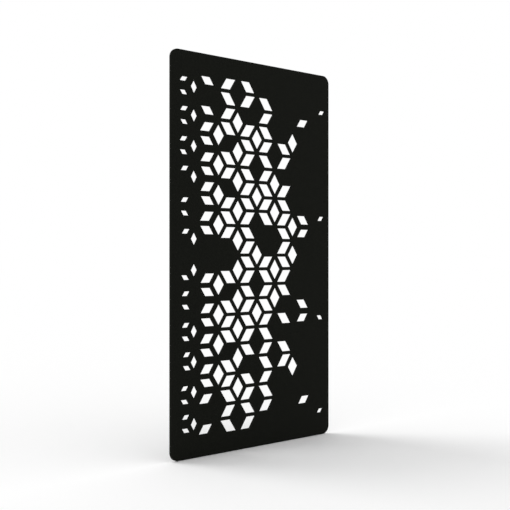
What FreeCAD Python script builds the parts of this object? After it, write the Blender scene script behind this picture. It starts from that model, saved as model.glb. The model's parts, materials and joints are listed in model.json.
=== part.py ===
import FreeCAD, Part
import Sketcher
import os

# Hanging acoustic screen: a thin board of black felt with a tumbling-block pattern of rhombic
# cut-outs that shrink and thin out towards the sides. Two felt sheets are bonded face to face,
# and the hanger hardware is shut in between them, flush with the top edge.
# Frame: X along the width, the front face towards -Y, Z up. The origin is in the middle of the
# top edge, half way between the two hanger threads, so the board hangs below it.

doc = FreeCAD.newDocument("hanging_screen")
sizes = doc.addObject("Spreadsheet::Sheet", "sizes")

# Driving dimensions in millimetres: alias, value, meaning
driving = [
    ("panel_width", 1000, "board across"),
    ("panel_height", 1800, "board from top edge to bottom edge"),
    ("panel_thickness", 12, "board through both felt sheets and the film"),
    ("corner_radius", 40, "outer corners of the board"),
    ("film_thickness", 0.2, "hot-melt film between the sheets"),
    ("edge_margin", 16, "least felt left between a cut-out and the board's edge or hardware"),
    ("column_pitch", 118, "from one column of blocks to the next"),
    ("row_pitch", 136, "from one block to the next one below it"),
    ("pattern_offset", 10.9, "middle of the full-size columns, right of the board's middle"),
    ("pattern_lift", 0.2, "middle row of the pattern, above the board's middle"),
    ("column_stagger", 1, "full-size columns stand left and right of the lattice by this, in turn"),
    ("level_strut", 15.5, "felt left between tiles that lie one above the other"),
    ("slant_strut", 16.7, "felt left between a tile and a diamond, measured level"),
    ("row_step", 3, "full-size tiles are higher and lower than their mean by this, in turn"),
    ("diamond_width", 70.4, "full-size diamond across"),
    ("diamond_tip_gap", 31.7, "felt left between the tips of two of the shorter diamonds"),
    ("near_tile_width", 57.6, "tiles in the columns beside the full-size ones, along their level sides"),
    ("near_tile_height", 38.6, "mean of the same tiles' two heights"),
    ("far_tile_width", 34.3, "tiles in the outermost columns, along their level sides"),
    ("far_tile_height", 20.3, "the same tiles, upright"),
    ("far_diamond_width", 39.7, "diamonds in the outermost column, across"),
    ("far_diamond_height", 67.5, "the same diamonds, upright"),
    ("near_closing", 2.8, "near columns' upper and lower tiles, each moved towards the other"),
    ("far_closing", 4.5, "the same in the far columns"),
    ("far_diamond_shift", 25.3, "far column's diamonds, moved outwards"),
    ("nudge_step", 3, "step in which the outer columns' tiles are set off the lattice by hand"),
    ("hanger_inset", 150, "from the board's side to a hanger thread"),
    ("bar_inset", 60, "from the board's side to the end of the stiffener bar"),
    ("bar_height", 20, "stiffener bar, upright"),
    ("bar_thickness", 3, "stiffener bar, through the board"),
    ("bar_end_radius", 4, "rounded corners of the stiffener bar"),
    ("sleeve_diameter", 7, "hanger sleeve outside"),
    ("thread_diameter", 5, "hanger thread, nominal, modelled as a plain bore"),
    ("thread_depth", 20, "hanger thread from the top edge down"),
    ("thread_web", 4, "solid metal between the thread and the fork"),
    ("drill_tip", 1.5, "cone that the drill leaves under the thread"),
    ("pin_diameter", 3, "clevis pin through fork and bar"),
    ("pin_clearance", 0.02, "round the pin"),
    ("fit_clearance", 0.1, "round hardware in the felt, and between fork and bar"),
]
for row, (alias, value, meaning) in enumerate(driving, start=1):
    sizes.set(f"A{row}", meaning)
    sizes.set(f"B{row}", str(value))
    sizes.setAlias(f"B{row}", alias)
doc.recompute()

# Lengths that follow from the driving ones, as formulas
sheet_thickness = "(sizes.panel_thickness - sizes.film_thickness) / 2"
bar_length = "(sizes.panel_width - 2 * sizes.bar_inset)"
hanger_x = "(sizes.panel_width / 2 - sizes.hanger_inset)"
sleeve_length = "(sizes.thread_depth + sizes.thread_web + sizes.bar_height)"
pin_length = "(2 * sqrt((sizes.sleeve_diameter / 2) ^ 2 - (sizes.pin_diameter / 2) ^ 2))"
overcut = 1  # how far a cutter passes the face that it opens

# Which cut-outs each block has, from the top row down: U upper tile, L lower tile, D diamond.
# Columns run from left to right, and odd ones stand half a row higher, with one block more.
# The outer columns are set loosely: across and up move a block's tiles, in nudge steps.
columns = [
    {"grade": "far", "blocks": "ULD ULD ULD U-D UL- U-D -LD UL- ULD ULD ULD ULD",
     "across": "-8 -7 -8 -6 -6 -4 -5 -4 -4 -2 -6 -4",
     "up": "-1 1 2 4 3 2 -1 1 0 2 -2 1",
     "diamond up": "-1 2 2 2 0 1 0 0 0 0 1 -1"},
    {"grade": "near", "blocks": "-L- -L- ULD ULD ULD ULD --- ULD ULD ULD ULD U-- U--",
     "across": "-2 -2 -3 -2 -2 -3 0 -2 -2 -3 -3 -5 -6",
     "up": "-1 0 0 0 1 2 0 0 0 0 0 1 1"},
    {"grade": "full", "blocks": "UL- ULD -LD U-D ULD U-D -LD -LD ULD -LD ULD UL-"},
    {"grade": "full", "blocks": "-L- U-- ULD UL- ULD UL- ULD UL- ULD UL- -L- UL- U--"},
    {"grade": "full", "blocks": "-L- UL- UL- ULD ULD --- ULD ULD UL- UL- UL- U--"},
    {"grade": "full", "blocks": "--- --- -LD U-- UL- ULD ULD UL- -L- -L- U-D --- ---"},
    {"grade": "near", "blocks": "--- U-- --- --- -L- U-- --- -L- U-- --- --- U--",
     "across": "0 3 0 0 4 4 0 3 3 0 0 6",
     "up": "0 1 0 0 -1 2 0 -2 0 0 0 1"},
    {"grade": "far", "blocks": "--- U-- --- --- --- U-- --- --- -L- --- --- --- U--",
     "across": "0 9 0 0 0 7 0 0 5 0 0 0 5",
     "up": "0 1 0 0 0 5 0 0 -4 0 0 0 2"},
]


def size(alias):
    return float(sizes.get(alias))


def add(kind, name, lengths, base, turn=None):
    # A Part primitive with its sizes and its place bound to formulas
    item = doc.addObject("Part::" + kind, name)
    if turn:
        item.Placement = FreeCAD.Placement(FreeCAD.Vector(), turn)
    for prop, formula in lengths.items():
        item.setExpression(prop, formula)
    for axis, formula in base.items():
        item.setExpression("Placement.Base." + axis, formula)
    return item


def cut(name, base, tool):
    result = doc.addObject("Part::Cut", name)
    result.Base = base
    result.Tool = tool
    return result


def fuse(name, shapes):
    result = doc.addObject("Part::MultiFuse", name)
    result.Shapes = shapes
    return result


def edges_along(shape, direction):
    # Names of the straight edges that run along a direction
    found = []
    for number, edge in enumerate(shape.Edges, start=1):
        if edge.Curve.TypeId == "Part::GeomLine":
            if abs(abs(edge.tangentAt(edge.FirstParameter).dot(direction)) - 1) < 1e-6:
                found.append(f"Edge{number}")
    return found


def rounded_plate(name, width, height, top, thickness, rear, radius):
    # An upright plate centred on X, padded from its rear face towards -Y, with rounded corners
    body = doc.addObject("PartDesign::Body", name)
    body.setExpression("Placement.Base.y", rear)
    body.setExpression("Placement.Base.z", top)
    sketch = body.newObject("Sketcher::SketchObject", name + "_outline")
    plane = next(item for item in body.Origin.OriginFeatures if item.Role == "XZ_Plane")
    sketch.AttachmentSupport = (plane, [""])
    sketch.MapMode = "FlatFace"
    # Drawn as a rough unit outline, which the two bound distances then bring to size
    corners = [FreeCAD.Vector(x, z, 0) for x, z in ((-1, 0), (1, 0), (1, -1), (-1, -1))]
    for start, end in zip(corners, corners[1:] + corners[:1]):
        sketch.addGeometry(Part.LineSegment(start, end), False)
    top_line, right_line, bottom_line, left_line = range(4)
    x_axis, y_axis = -1, -2
    for line in range(4):
        sketch.addConstraint(Sketcher.Constraint("Coincident", line, 2, (line + 1) % 4, 1))
    sketch.addConstraint(Sketcher.Constraint("Vertical", right_line))
    sketch.addConstraint(Sketcher.Constraint("Vertical", left_line))
    sketch.addConstraint(Sketcher.Constraint("Horizontal", bottom_line))
    sketch.addConstraint(Sketcher.Constraint("PointOnObject", top_line, 1, x_axis))
    sketch.addConstraint(Sketcher.Constraint("Symmetric", top_line, 1, top_line, 2, y_axis))
    rough_width = corners[1].x - corners[0].x
    rough_height = corners[1].y - corners[2].y
    across = sketch.addConstraint(
        Sketcher.Constraint("DistanceX", top_line, 1, top_line, 2, rough_width))
    upright = sketch.addConstraint(
        Sketcher.Constraint("DistanceY", right_line, 2, right_line, 1, rough_height))
    sketch.renameConstraint(across, "across")
    sketch.renameConstraint(upright, "upright")
    sketch.setExpression("Constraints.across", width)
    sketch.setExpression("Constraints.upright", height)
    pad = body.newObject("PartDesign::Pad", name + "_pad")
    pad.Profile = sketch
    pad.setExpression("Length", thickness)
    doc.recompute()
    rounding = body.newObject("PartDesign::Fillet", name + "_corners")
    rounding.Base = (pad, edges_along(pad.Shape, FreeCAD.Vector(0, 1, 0)))
    rounding.setExpression("Radius", radius)
    doc.recompute()
    return body


def nudges(column, key):
    # A column's moves off the lattice, one for each block, none where it gives none
    words = column.get(key, "0 " * len(column["blocks"].split())).split()
    return [int(word) * size("nudge_step") for word in words]


def block_cutouts():
    # Every cut-out's corners in the XZ plane, worked out from pitches and struts
    pitch, row = size("column_pitch"), size("row_pitch")
    diamond = (size("diamond_width"), row - size("diamond_tip_gap"))
    lean = diamond[0] / diamond[1]
    full_tile = (pitch - diamond[0] + lean * row / 2 - 2 * size("slant_strut"),
                 row / 2 - size("level_strut"))
    near_tile = (size("near_tile_width"), size("near_tile_height"))
    near_step = size("row_step") * near_tile[1] / full_tile[1]
    far_tile = (size("far_tile_width"), size("far_tile_height"))
    far_diamond = (size("far_diamond_width"), size("far_diamond_height"))
    # Each grade of column: its stagger, tile, row step, closing, diamond and that one's shift outwards
    grades = {
        "full": (size("column_stagger"), full_tile, size("row_step"), 0, diamond, 0),
        "near": (0, near_tile, near_step, size("near_closing"), diamond, 0),
        "far": (0, far_tile, 0, size("far_closing"), far_diamond, size("far_diamond_shift")),
    }
    outlines = []
    for number, column in enumerate(columns):
        stagger, tile, row_step, closing, column_diamond, diamond_shift = grades[column["grade"]]
        words = column["blocks"].split()
        column_x = size("pattern_offset") + (number - (len(columns) - 1) / 2) * pitch
        column_x += stagger if number % 2 else -stagger
        top_z = (len(words) - 1) / 2 * row + size("pattern_lift") - size("panel_height") / 2
        moves = zip(words, nudges(column, "across"), nudges(column, "up"), nudges(column, "diamond up"))
        for place, (word, across, up, diamond_up) in enumerate(moves):
            block_z = top_z - place * row
            if "D" in word:
                # Beside a taller lower tile the diamond reaches lower too
                reach = 0 if number % 2 else row_step
                half_x = column_diamond[0] / 2
                half_z = (column_diamond[1] + reach) / 2
                x = column_x + pitch / 2 - diamond_shift
                z = block_z + diamond_up - reach / 2
                outlines.append([(x - half_x, z), (x, z - half_z), (x + half_x, z), (x, z + half_z)])
            for letter, side in (("U", 1), ("L", -1)):
                if letter in word:
                    # Upper tiles lean right and lower ones left, in rows of two heights in turn
                    half_x = tile[0] / 2
                    half_z = (tile[1] + row_step * (side if number % 2 else -side)) / 2
                    shear = half_z * lean * side
                    x = column_x + across
                    z = block_z + up + side * (row / 4 - closing)
                    outlines.append([(x - half_x - shear, z - half_z), (x + half_x - shear, z - half_z),
                                     (x + half_x + shear, z + half_z), (x - half_x + shear, z + half_z)])
    return outlines


def inside_margins(outline):
    # A cut-out is made only where it leaves the margin to the edges and below the hardware
    side = size("panel_width") / 2 - size("edge_margin")
    hardware = size("thread_depth") + size("thread_web") + size("bar_height")
    top = -hardware - size("edge_margin")
    bottom = -size("panel_height") + size("edge_margin")
    return all(abs(x) <= side and bottom <= z <= top for x, z in outline)


def cutout_prisms():
    # One prism for each cut-out, through the whole board
    rear = size("panel_thickness") / 2 + overcut
    through = FreeCAD.Vector(0, -2 * rear, 0)
    prisms = []
    for outline in block_cutouts():
        if inside_margins(outline):
            points = [FreeCAD.Vector(x, rear, z) for x, z in outline]
            prisms.append(Part.Face(Part.makePolygon(points + points[:1])).extrude(through))
    return prisms


# Cutters shared by all three layers: the pattern, and the room for the hardware
pattern = doc.addObject("Part::Feature", "pattern_prisms")
pattern.Shape = Part.makeCompound(cutout_prisms())
sides = (("left", "-"), ("right", ""))
along_y = FreeCAD.Rotation(FreeCAD.Vector(1, 0, 0), -90)
room = [add("Box", "bar_room",
            {"Length": f"{bar_length} + 2 * sizes.fit_clearance",
             "Width": "sizes.bar_thickness + 2 * sizes.fit_clearance",
             "Height": "sizes.bar_height + 2 * sizes.fit_clearance"},
            {"x": f"-{bar_length} / 2 - sizes.fit_clearance",
             "y": "-sizes.bar_thickness / 2 - sizes.fit_clearance",
             "z": f"-{sleeve_length} - sizes.fit_clearance"})]
for side, sign in sides:
    room.append(add("Cylinder", side + "_sleeve_room",
                    {"Radius": "sizes.sleeve_diameter / 2 + sizes.fit_clearance",
                     "Height": f"{sleeve_length} + sizes.fit_clearance + {overcut}"},
                    {"x": f"{sign}{hanger_x}", "z": f"-{sleeve_length} - sizes.fit_clearance"}))
hardware_room = fuse("hardware_room", room)

# Felt sheets and the film between them: node, thickness and rear face.
# Sleeves and bar part the film in two, with a strip of it left above the bar.
layers = (
    ("front_felt_sheet", sheet_thickness, "-sizes.film_thickness / 2"),
    ("bond_film", "sizes.film_thickness", "sizes.film_thickness / 2"),
    ("back_felt_sheet", sheet_thickness, "sizes.panel_thickness / 2"),
)
nodes = []
for node, thickness, rear in layers:
    blank = rounded_plate(node + "_blank", "sizes.panel_width", "sizes.panel_height", "0",
                          thickness, rear, "sizes.corner_radius")
    perforated = cut(node + "_perforated", blank, pattern)
    layer = cut(node + "_layer", perforated, hardware_room)
    layer.Label = node
    nodes.append(layer)

# Pin holes through both forks and the bar
pin_holes = []
for side, sign in sides:
    pin_holes.append(add("Cylinder", side + "_pin_hole",
                         {"Radius": "sizes.pin_diameter / 2 + sizes.pin_clearance",
                          "Height": "sizes.sleeve_diameter"},
                         {"x": f"{sign}{hanger_x}", "y": "-sizes.sleeve_diameter / 2",
                          "z": f"-{sleeve_length} + sizes.bar_height / 2"}, along_y))

# Flat steel bar that keeps the top edge straight and spreads the pull of the two hangers
bar_blank = rounded_plate("bar_blank", bar_length, "sizes.bar_height",
                          f"-{sleeve_length} + sizes.bar_height", "sizes.bar_thickness",
                          "sizes.bar_thickness / 2", "sizes.bar_end_radius")
bar = cut("bar_drilled", bar_blank, fuse("bar_pin_holes", pin_holes))
bar.Label = "stiffener_bar"
nodes.append(bar)

# Turned sleeves with the hanger thread above and a fork over the bar below, pinned to the bar
for (side, sign), pin_hole in zip(sides, pin_holes):
    x = f"{sign}{hanger_x}"
    rod = add("Cylinder", side + "_sleeve_rod",
              {"Radius": "sizes.sleeve_diameter / 2", "Height": sleeve_length},
              {"x": x, "z": f"-{sleeve_length}"})
    bore = add("Cylinder", side + "_thread_bore",
               {"Radius": "sizes.thread_diameter / 2", "Height": f"sizes.thread_depth + {overcut}"},
               {"x": x, "z": "-sizes.thread_depth"})
    tip = add("Cone", side + "_drill_tip",
              {"Radius1": "0", "Radius2": "sizes.thread_diameter / 2", "Height": "sizes.drill_tip"},
              {"x": x, "z": "-sizes.thread_depth - sizes.drill_tip"})
    fork = add("Box", side + "_fork_slot",
               {"Length": f"sizes.sleeve_diameter + 2 * {overcut}",
                "Width": "sizes.bar_thickness + 2 * sizes.fit_clearance",
                "Height": f"sizes.bar_height + sizes.fit_clearance + {overcut}"},
               {"x": f"{x} - sizes.sleeve_diameter / 2 - {overcut}",
                "y": "-sizes.bar_thickness / 2 - sizes.fit_clearance",
                "z": f"-{sleeve_length} - {overcut}"})
    sleeve = cut(side + "_sleeve_turned", rod, fuse(side + "_sleeve_cuts", [bore, tip, fork, pin_hole]))
    sleeve.Label = side + "_hanger_sleeve"
    pin = add("Cylinder", side + "_pin", {"Radius": "sizes.pin_diameter / 2", "Height": pin_length},
              {"x": x, "y": f"-{pin_length} / 2",
               "z": f"-{sleeve_length} + sizes.bar_height / 2"}, along_y)
    pin.Label = side + "_clevis_pin"
    nodes += [sleeve, pin]

doc.recompute()

# Nothing is written unless every object is sound and every node has its solids
for item in doc.Objects:
    if "Invalid" in item.State or "Error" in item.State:
        raise RuntimeError(f"{item.Label} failed: {item.State}")
for node in nodes:
    solids = 2 if node.Label == "bond_film" else 1
    if node.Shape.isNull() or not node.Shape.isValid() or len(node.Shape.Solids) != solids:
        raise RuntimeError(f"{node.Label} is not sound, with {len(node.Shape.Solids)} solids")

os.makedirs("parts", exist_ok=True)
for node in nodes:
    node.Shape.exportStep(f"parts/{node.Label}.step")
    print(node.Label, f"{node.Shape.Volume / 1000:.2f} cm3")
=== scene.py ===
import json
import math

import bmesh
import bpy
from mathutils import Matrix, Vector


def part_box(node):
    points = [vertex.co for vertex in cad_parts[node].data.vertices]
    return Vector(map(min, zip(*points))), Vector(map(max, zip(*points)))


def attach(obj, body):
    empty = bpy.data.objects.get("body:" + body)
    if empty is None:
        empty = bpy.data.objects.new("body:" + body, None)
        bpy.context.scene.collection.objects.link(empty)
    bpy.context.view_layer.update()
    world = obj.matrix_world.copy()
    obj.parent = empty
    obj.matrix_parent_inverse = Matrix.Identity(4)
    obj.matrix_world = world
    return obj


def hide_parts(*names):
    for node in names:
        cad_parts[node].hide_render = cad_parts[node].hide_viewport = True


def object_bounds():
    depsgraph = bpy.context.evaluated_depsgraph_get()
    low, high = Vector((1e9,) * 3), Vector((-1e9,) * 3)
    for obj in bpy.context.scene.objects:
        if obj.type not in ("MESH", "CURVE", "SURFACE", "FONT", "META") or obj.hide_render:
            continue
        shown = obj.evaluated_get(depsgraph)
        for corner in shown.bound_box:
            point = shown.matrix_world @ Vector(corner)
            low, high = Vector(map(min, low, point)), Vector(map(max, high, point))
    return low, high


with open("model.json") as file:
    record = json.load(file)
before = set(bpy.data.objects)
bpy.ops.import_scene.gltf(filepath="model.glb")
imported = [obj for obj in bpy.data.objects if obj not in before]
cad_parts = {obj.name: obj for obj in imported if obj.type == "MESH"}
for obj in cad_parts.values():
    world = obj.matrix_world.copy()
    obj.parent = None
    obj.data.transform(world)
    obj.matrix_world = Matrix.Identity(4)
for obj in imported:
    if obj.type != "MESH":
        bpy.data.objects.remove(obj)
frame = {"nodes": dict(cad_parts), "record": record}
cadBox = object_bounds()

# Hanging acoustic screen of black felt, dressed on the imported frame
# Frame: X along the width, front face towards -Y, Z up, top edge at z = 0, all in metres
mm = 0.001
scene = bpy.context.scene
scene.view_settings.view_transform = "Standard"
boardMiddle = (cadBox[0] + cadBox[1]) / 2
print("frame loaded:", len(frame["nodes"]), "nodes")

# a Mix node's colour sockets share their names with its other sockets, so they go by number
mixShare, mixFirst, mixSecond, mixResult = 0, 6, 7, 2


def linear(hexColour):
    # sRGB hex to the linear RGBA that colour sockets take
    shares = [int(hexColour[i:i + 2], 16) / 255 for i in (1, 3, 5)]
    return [c / 12.92 if c <= 0.04045 else ((c + 0.055) / 1.055) ** 2.4 for c in shares] + [1.0]


def addNode(tree, kind, settings=None, links=None):
    # a setting goes to the socket of that name or number, or else to the node itself
    node = tree.nodes.new("ShaderNode" + kind)
    for name, value in (settings or {}).items():
        if isinstance(name, int) or name in node.inputs:
            node.inputs[name].default_value = value
        else:
            setattr(node, name, value)
    for name, socket in (links or {}).items():
        tree.links.new(socket, node.inputs[name])
    return node


def startMaterial(name):
    material = bpy.data.materials.new(name)
    material.use_nodes = True
    material.node_tree.nodes.clear()
    return material, material.node_tree


def placePiece(bm, name, materials):
    # a finished bmesh becomes an object at the origin that rides on the one body
    mesh = bpy.data.meshes.new(name)
    bm.to_mesh(mesh)
    bm.free()
    for material in materials:
        mesh.materials.append(material)
    piece = bpy.data.objects.new(name, mesh)
    scene.collection.objects.link(piece)
    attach(piece, "root")
    return piece


def coverNode(node, material):
    # a frame node keeps its mesh and takes the finish
    for place in frame["nodes"][node].material_slots:
        place.material = material


# Camera: level, at the height of the board's middle and turned to its left
cameraView = {
    "distance": 4.376,
    "azimuth": 42.53,       # degrees from square on
    "rise": -0.8 * mm,      # above the board's middle
    "focalLength": 65.70,   # mm, on the default 36 mm sensor
}


def addCamera():
    turn = math.radians(cameraView["azimuth"])
    ahead = Vector((math.sin(turn), math.cos(turn), 0))
    data = bpy.data.cameras.new("camera")
    data.lens = cameraView["focalLength"]
    camera = bpy.data.objects.new("camera", data)
    camera.location = boardMiddle - ahead * cameraView["distance"] + Vector((0, 0, cameraView["rise"]))
    camera.rotation_euler = ahead.to_track_quat("-Z", "Y").to_euler()
    scene.collection.objects.link(camera)
    scene.camera = camera


addCamera()
print("camera placed")


# Studio: white floor and surround, an even white dome and one broad soft light from behind on the left
studio = {
    "floorHalf": 40,          # metres
    "floorGap": 2 * mm,       # the board hangs just clear of the floor
    "floorColour": "#ffffff",
    "surround": "#ffffff",
    "dome": 0.80,             # share of the light that the dome gives a level white surface
    "lampAzimuth": 153,       # degrees from the board's front, round to its left
    "lampElevation": 50,
    "lampSpread": 30,         # degrees across
}


def floorMaterial():
    # matt white card
    material, tree = startMaterial("whiteCardFloor")
    card = addNode(tree, "BsdfDiffuse", {"Color": linear(studio["floorColour"])})
    addNode(tree, "OutputMaterial", links={"Surface": card.outputs[0]})
    return material


def layFloor():
    bm = bmesh.new()
    bmesh.ops.create_grid(bm, x_segments=1, y_segments=1, size=studio["floorHalf"])
    bmesh.ops.translate(bm, verts=bm.verts, vec=(0, 0, cadBox[0].z - studio["floorGap"]))
    mesh = bpy.data.meshes.new("floor")
    bm.to_mesh(mesh)
    bm.free()
    mesh.materials.append(floorMaterial())
    floor = bpy.data.objects.new("floor", mesh)
    scene.collection.objects.link(floor)


def raiseDome():
    # plain white to the eye and in reflections, dimmer as a light
    world = bpy.data.worlds.new("whiteSurround")
    world.use_nodes = True
    scene.world = world
    tree = world.node_tree
    tree.nodes.clear()
    ray = addNode(tree, "LightPath")
    seen = ray.outputs["Is Camera Ray"]
    for name in ("Is Glossy Ray", "Is Transmission Ray"):
        seen = addNode(tree, "Math", {"operation": "MAXIMUM"}, {0: seen, 1: ray.outputs[name]}).outputs[0]
    strength = addNode(tree, "MapRange", {"To Min": studio["dome"], "To Max": 1.0}, {"Value": seen})
    glow = addNode(tree, "Background", {"Color": linear(studio["surround"])},
                   {"Strength": strength.outputs[0]})
    addNode(tree, "OutputWorld", links={"Surface": glow.outputs[0]})


def hangLamp():
    # the lamp makes up what the dome leaves, so that the open floor comes out just white
    rise = math.radians(studio["lampElevation"])
    turn = math.radians(studio["lampAzimuth"])
    towards = Vector((-math.sin(turn) * math.cos(rise), -math.cos(turn) * math.cos(rise), math.sin(rise)))
    data = bpy.data.lights.new("softLamp", "SUN")
    data.angle = math.radians(studio["lampSpread"])
    data.energy = (1 - studio["dome"]) * math.pi / math.sin(rise)
    lamp = bpy.data.objects.new("softLamp", data)
    lamp.rotation_euler = towards.to_track_quat("Z", "Y").to_euler()
    scene.collection.objects.link(lamp)


layFloor()
raiseDome()
hangLamp()
print("studio lit")


# Felt sheets: needle-punched polyester, hot pressed to a board and cut by a knife
feltSheets = {
    "nodes": ("front_felt_sheet", "back_felt_sheet"),
    "weld": 0.001 * mm,
    "flatAngle": 0.5,          # degrees, up to which faces are made one
    "creaseAngle": 40,         # degrees, past which an edge is sharp
    "faceTilt": 8,             # degrees, up to which a surface still has the face's finish
    "cornerCuts": 2,           # new points on each step of a corner's arc
    "arcSlack": 0.01 * mm,     # how far off the arc a corner's point may be
    "arris": 0.8 * mm,         # rounding that the knife leaves on the outer faces
    "arrisSteps": 3,
    "bondGroove": 0.25 * mm,   # chamfer on each side of the bond line
    "ground": "#0d0f0c",
    "groundPale": "#12130f",
    "cloud": 70 * mm,          # uneven laying of the fleece
    "fibres": ("#080907", "#23241f", "#0a0b09", "#1e1f1a", "#0e0f0c", "#1a1b17", "#131410"),   # bottom up
    "fibreLength": 14 * mm,
    "fibreWidth": 0.45 * mm,   # real ones are 0.04 mm: drawn coarser, so that they show in a close view
    "fibreLevels": (0.58, 0.66),   # of a layer's noise, where a fibre begins and where it is whole
    "bend": 12 * mm,           # how far a fibre runs before it bends
    "sway": 6 * mm,            # and how far it then strays
    "grain": 0.9 * mm,
    "grainShare": 0.4,         # its height beside a fibre's
    "faceRoughness": (0.98, 0.86),   # in the gaps and on the fibres
    "cutDark": "#0e0f0d",
    "cutPale": "#1d1e1a",
    "cutLayer": 0.7 * mm,      # pressed layers of the fleece, seen in a cut
    "cutStreak": 9 * mm,
    "cutRoughness": (1.0, 0.9),
    # raised fibres along the arris, painted paler as a highlight
    "raisedFibreHighlight": "#22231f",
    "tuft": 1.6 * mm,          # fibres raised by the knife
    "arrisRoughness": (1.0, 0.92),
    "relief": 0.15 * mm,
    "reliefStrength": 0.5,
    "ior": 1.57,
    "specularLevel": 0.03,     # the fibres shade their own gloss
    "sheen": 0.02,
}


def layFibres(tree, spot, colour):
    # wavy fibres in layers, each layer in its own direction and tone
    bends = addNode(tree, "TexNoise", {"Scale": 1 / feltSheets["bend"], "Detail": 1}, {"Vector": spot})
    swayed = addNode(tree, "VectorMath", {"operation": "MULTIPLY_ADD", 1: [feltSheets["sway"]] * 3},
                     {0: bends.outputs["Color"], 2: spot})
    size = (feltSheets["fibreLength"], feltSheets["fibreWidth"], feltSheets["fibreWidth"])
    begins, whole = feltSheets["fibreLevels"]
    tones = feltSheets["fibres"]
    height = None
    for layer, tone in enumerate(tones):
        turn = math.pi * layer / len(tones)
        laid = addNode(tree, "Mapping",
                       {"vector_type": "TEXTURE", "Rotation": (0, turn, 0), "Scale": size},
                       {"Vector": swayed.outputs[0]})
        noise = addNode(tree, "TexNoise", {"Scale": 1, "Detail": 1}, {"Vector": laid.outputs[0]})
        strand = addNode(tree, "MapRange", {"From Min": begins, "From Max": whole},
                         {"Value": noise.outputs[0]}).outputs[0]
        colour = addNode(tree, "Mix", {"data_type": "RGBA", mixSecond: linear(tone)},
                         {mixShare: strand, mixFirst: colour}).outputs[mixResult]
        if height:
            strand = addNode(tree, "Math", {"operation": "MAXIMUM"}, {0: height, 1: strand}).outputs[0]
        height = strand
    return colour, height


def finishFelt(tree, colour, height, roughness):
    # what the three felt finishes share: dead matt, with a trace of sheen
    bump = addNode(tree, "Bump",
                   {"Strength": feltSheets["reliefStrength"], "Distance": feltSheets["relief"]},
                   {"Height": height})
    low, high = roughness
    rough = addNode(tree, "MapRange", {"To Min": low, "To Max": high}, {"Value": height})
    felt = addNode(tree, "BsdfPrincipled",
                   {"IOR": feltSheets["ior"], "Specular IOR Level": feltSheets["specularLevel"],
                    "Sheen Weight": feltSheets["sheen"]},
                   {"Base Color": colour, "Roughness": rough.outputs[0], "Normal": bump.outputs[0]})
    addNode(tree, "OutputMaterial", links={"Surface": felt.outputs[0]})


def feltFaceMaterial():
    # hot-pressed polyester felt: flat fibres in every direction, dead matt
    material, tree = startMaterial("pressedFeltFace")
    spot = addNode(tree, "TexCoord").outputs["Object"]
    cloud = addNode(tree, "TexNoise", {"Scale": 1 / feltSheets["cloud"]}, {"Vector": spot})
    ground = addNode(tree, "Mix",
                     {"data_type": "RGBA", mixFirst: linear(feltSheets["ground"]),
                      mixSecond: linear(feltSheets["groundPale"])},
                     {mixShare: cloud.outputs[0]})
    colour, fibres = layFibres(tree, spot, ground.outputs[mixResult])
    grain = addNode(tree, "TexNoise", {"Scale": 1 / feltSheets["grain"]}, {"Vector": spot})
    height = addNode(tree, "Math", {"operation": "MULTIPLY_ADD", 1: feltSheets["grainShare"]},
                     {0: grain.outputs[0], 2: fibres})
    finishFelt(tree, colour, height.outputs[0], feltSheets["faceRoughness"])
    return material


def feltCutMaterial():
    # the same felt across a knife cut: thin pressed layers, seen end on
    material, tree = startMaterial("knifeCutFelt")
    spot = addNode(tree, "TexCoord").outputs["Object"]
    streak = feltSheets["cutStreak"]
    size = (streak, feltSheets["cutLayer"], streak)
    pressed = addNode(tree, "Mapping", {"vector_type": "TEXTURE", "Scale": size}, {"Vector": spot})
    noise = addNode(tree, "TexNoise", {"Scale": 1, "Detail": 3}, {"Vector": pressed.outputs[0]})
    layers = noise.outputs[0]
    colour = addNode(tree, "Mix",
                     {"data_type": "RGBA", mixFirst: linear(feltSheets["cutDark"]),
                      mixSecond: linear(feltSheets["cutPale"])},
                     {mixShare: layers})
    finishFelt(tree, colour.outputs[mixResult], layers, feltSheets["cutRoughness"])
    return material


def feltArrisMaterial():
    # fibres that the knife has raised along a cut, painted a little paler as a highlight along the arris
    material, tree = startMaterial("raisedFeltArrisHighlight")
    spot = addNode(tree, "TexCoord").outputs["Object"]
    noise = addNode(tree, "TexNoise", {"Scale": 1 / feltSheets["tuft"], "Detail": 4}, {"Vector": spot})
    tufts = noise.outputs[0]
    colour = addNode(tree, "Mix",
                     {"data_type": "RGBA", mixFirst: linear(feltSheets["ground"]),
                      mixSecond: linear(feltSheets["raisedFibreHighlight"])},
                     {mixShare: tufts})
    finishFelt(tree, colour.outputs[mixResult], tufts, feltSheets["arrisRoughness"])
    return material


def isSharp(edge):
    return edge.calc_face_angle(0) > math.radians(feltSheets["creaseAngle"])


def refineCorners(bm, low, high):
    # the frame's corner arcs have coarse steps: divide them and move the new points out to the arc
    weld = feltSheets["weld"]
    straightEnd = max(vert.co.x for vert in bm.verts if high.z - vert.co.z < weld)
    radius = high.x - straightEnd   # what the straight stretch of the top edge leaves

    def spoke(point):
        # from the nearest of the points that the corners are centred on, or from the nearest edge's line
        x = min(max(point.x, low.x + radius), high.x - radius)
        z = min(max(point.z, low.z + radius), high.z - radius)
        return Vector((point.x - x, 0, point.z - z))

    def onArc(edge):
        ends = [vert.co for vert in edge.verts]
        middle = spoke((ends[0] + ends[1]) / 2)
        return (abs(ends[0].y - ends[1].y) < weld and isSharp(edge)
                and abs(middle.x) > weld and abs(middle.z) > weld
                and all(abs(spoke(end).length - radius) < feltSheets["arcSlack"] for end in ends))

    steps = [edge for edge in bm.edges if onArc(edge)]
    made = bmesh.ops.subdivide_edges(bm, edges=steps, cuts=feltSheets["cornerCuts"], use_grid_fill=True)
    for part in made["geom_inner"]:
        if isinstance(part, bmesh.types.BMVert):
            reach = spoke(part.co)
            part.co += reach.normalized() * (radius - reach.length)
    print("corner steps divided:", len(steps))


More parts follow.
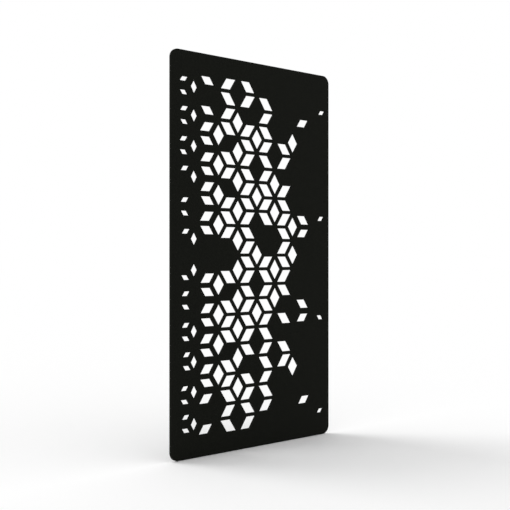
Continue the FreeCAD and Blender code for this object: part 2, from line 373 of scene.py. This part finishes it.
def buildFeltSheet(node, materials):
    # materials are those of the face, the cuts and the arrises
    low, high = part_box(node)
    outer, inner = (low.y, high.y) if low.y + high.y < 0 else (high.y, low.y)
    bm = bmesh.new()
    bm.from_mesh(frame["nodes"][node].data)
    bmesh.ops.remove_doubles(bm, verts=bm.verts, dist=feltSheets["weld"])
    bmesh.ops.dissolve_limit(bm, angle_limit=math.radians(feltSheets["flatAngle"]),
                             verts=bm.verts, edges=bm.edges)
    refineCorners(bm, low, high)

    def touches(part, y):
        return [abs(vert.co.y - y) < feltSheets["weld"] for vert in part.verts]

    def runsThrough(face):
        return any(touches(face, outer)) and any(touches(face, inner))

    # the bond line's groove leaves out the room for the hardware, whose walls don't run through
    groove = [edge for edge in bm.edges
              if all(touches(edge, inner)) and isSharp(edge) and any(map(runsThrough, edge.link_faces))]
    bmesh.ops.bevel(bm, geom=groove, offset=feltSheets["bondGroove"], affect="EDGES", segments=1,
                    profile=0.5, material=-1)
    arris = [edge for edge in bm.edges if all(touches(edge, outer)) and isSharp(edge)]
    rounded = bmesh.ops.bevel(bm, geom=arris, offset=feltSheets["arris"], affect="EDGES",
                              segments=feltSheets["arrisSteps"], profile=0.5, material=-1)["faces"]

    flat = math.cos(math.radians(feltSheets["faceTilt"]))
    for face in bm.faces:
        face.smooth = True
        face.material_index = 0 if abs(face.normal.y) > flat else 1
    for face in rounded:
        face.material_index = 2
    for edge in bm.edges:
        edge.smooth = not isSharp(edge)
    piece = placePiece(bm, node.replace("sheet", "board"), materials)
    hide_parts(node)
    even = piece.modifiers.new("evenNormals", "WEIGHTED_NORMAL")
    even.keep_sharp = True
    return piece


feltMaterials = [feltFaceMaterial(), feltCutMaterial(), feltArrisMaterial()]
for node in feltSheets["nodes"]:
    piece = buildFeltSheet(node, feltMaterials)
    print(piece.name, len(piece.data.polygons), "faces")


# Bond film: hot-melt film that shows as a hairline in every cut
bondFilm = {
    "node": "bond_film",
    "colour": "#0d0d0c",
    "colourPale": "#191917",
    "mottle": 6 * mm,          # where the melt has soaked into the fibres
    "roughness": (0.55, 0.8),
    "ior": 1.53,
    "specularLevel": 0.2,      # most of its gloss is shaded by the felt on both sides
}


def hotMeltFilmMaterial():
    # black polyamide film, melted and set, with duller spots where it soaked in
    material, tree = startMaterial("hotMeltFilm")
    spot = addNode(tree, "TexCoord").outputs["Object"]
    noise = addNode(tree, "TexNoise", {"Scale": 1 / bondFilm["mottle"], "Detail": 4}, {"Vector": spot})
    mottle = noise.outputs[0]
    colour = addNode(tree, "Mix",
                     {"data_type": "RGBA", mixFirst: linear(bondFilm["colour"]),
                      mixSecond: linear(bondFilm["colourPale"])},
                     {mixShare: mottle})
    glossy, dull = bondFilm["roughness"]
    rough = addNode(tree, "MapRange", {"To Min": glossy, "To Max": dull}, {"Value": mottle})
    film = addNode(tree, "BsdfPrincipled",
                   {"IOR": bondFilm["ior"], "Specular IOR Level": bondFilm["specularLevel"]},
                   {"Base Color": colour.outputs[mixResult], "Roughness": rough.outputs[0]})
    addNode(tree, "OutputMaterial", links={"Surface": film.outputs[0]})
    return material


coverNode(bondFilm["node"], hotMeltFilmMaterial())
print("film finished")


# Hanger hardware: zinc-plated steel, of which only the sleeves' ends show in the top edge
hardware = {
    "bar": "stiffener_bar",
    "sleeves": ("left_hanger_sleeve", "right_hanger_sleeve"),
    "pins": ("left_clevis_pin", "right_clevis_pin"),
    "zinc": "#a7abb0",
    "zincPale": "#c3c5c6",
    "cloud": 4 * mm,           # uneven passivation
    "rolledMark": (45 * mm, 0.6 * mm, 0.6 * mm),   # along the bar
    "sleeveMark": (3 * mm, 3 * mm, 0.25 * mm),     # turning rings, along the sleeve
    "pinMark": (2 * mm, 0.25 * mm, 2 * mm),        # turning rings, along the pin
    "roughness": (0.22, 0.45),
    "relief": 0.02 * mm,
    "reliefStrength": 0.4,
}


def zincSteelMaterial(name, mark):
    # bright zinc on steel: clear blue-grey, with the marks of rolling or turning under it
    material, tree = startMaterial(name)
    spot = addNode(tree, "TexCoord").outputs["Object"]
    worked = addNode(tree, "Mapping", {"vector_type": "TEXTURE", "Scale": mark}, {"Vector": spot})
    noise = addNode(tree, "TexNoise", {"Scale": 1, "Detail": 3}, {"Vector": worked.outputs[0]})
    marks = noise.outputs[0]
    cloud = addNode(tree, "TexNoise", {"Scale": 1 / hardware["cloud"]}, {"Vector": spot})
    colour = addNode(tree, "Mix",
                     {"data_type": "RGBA", mixFirst: linear(hardware["zinc"]),
                      mixSecond: linear(hardware["zincPale"])},
                     {mixShare: cloud.outputs[0]})
    glossy, dull = hardware["roughness"]
    rough = addNode(tree, "MapRange", {"To Min": glossy, "To Max": dull}, {"Value": marks})
    bump = addNode(tree, "Bump",
                   {"Strength": hardware["reliefStrength"], "Distance": hardware["relief"]},
                   {"Height": marks})
    zinc = addNode(tree, "BsdfPrincipled", {"Metallic": 1.0},
                   {"Base Color": colour.outputs[mixResult], "Roughness": rough.outputs[0],
                    "Normal": bump.outputs[0]})
    addNode(tree, "OutputMaterial", links={"Surface": zinc.outputs[0]})
    return material


turnedSteel = zincSteelMaterial("turnedZincSteel", hardware["sleeveMark"])
pinSteel = zincSteelMaterial("turnedZincPin", hardware["pinMark"])
coverNode(hardware["bar"], zincSteelMaterial("rolledZincSteel", hardware["rolledMark"]))
for node in hardware["sleeves"]:
    coverNode(node, turnedSteel)
for node in hardware["pins"]:
    coverNode(node, pinSteel)
print("hardware finished")


# Hanger threads: M5 ridges in the sleeves' plain bores
thread = {
    "pitch": 0.8 * mm,
    "boreRadius": frame["record"]["mounts"][0]["dims"]["hole_r_mm"] * mm,
    "crestRadius": 2.1 * mm,
    "rootHalf": 0.36 * mm,     # half of a ridge at the bore, along the thread
    "crestHalf": 0.06 * mm,
    "sunk": 0.02 * mm,         # how far a ridge's root is sunk in the bore's wall
    "leadIn": 0.8 * mm,        # plain bore above the first ridge
    "turns": 22,
    "stepsPerTurn": 24,
}


def buildThread(sleeve):
    # one ridge's section, spun down the bore
    low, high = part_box(sleeve)
    axis = (low + high) / 2
    start = high.z - thread["leadIn"] - thread["rootHalf"]
    root = axis.x + thread["boreRadius"] + thread["sunk"]
    crest = axis.x + thread["crestRadius"]
    section = ((root, -thread["rootHalf"]), (crest, -thread["crestHalf"]),
               (crest, thread["crestHalf"]), (root, thread["rootHalf"]))
    bm = bmesh.new()
    ridge = bm.faces.new([bm.verts.new((x, axis.y, start + z)) for x, z in section])
    drop = thread["pitch"] / thread["stepsPerTurn"]
    bmesh.ops.spin(bm, geom=[ridge], cent=axis, axis=(0, 0, 1), angle=math.tau * thread["turns"],
                   steps=thread["turns"] * thread["stepsPerTurn"], dvec=(0, 0, -drop), use_duplicate=False)
    bmesh.ops.recalc_face_normals(bm, faces=bm.faces)
    return placePiece(bm, sleeve.replace("sleeve", "thread"), [turnedSteel])


for node in hardware["sleeves"]:
    piece = buildThread(node)
    print(piece.name, len(piece.data.polygons), "faces")
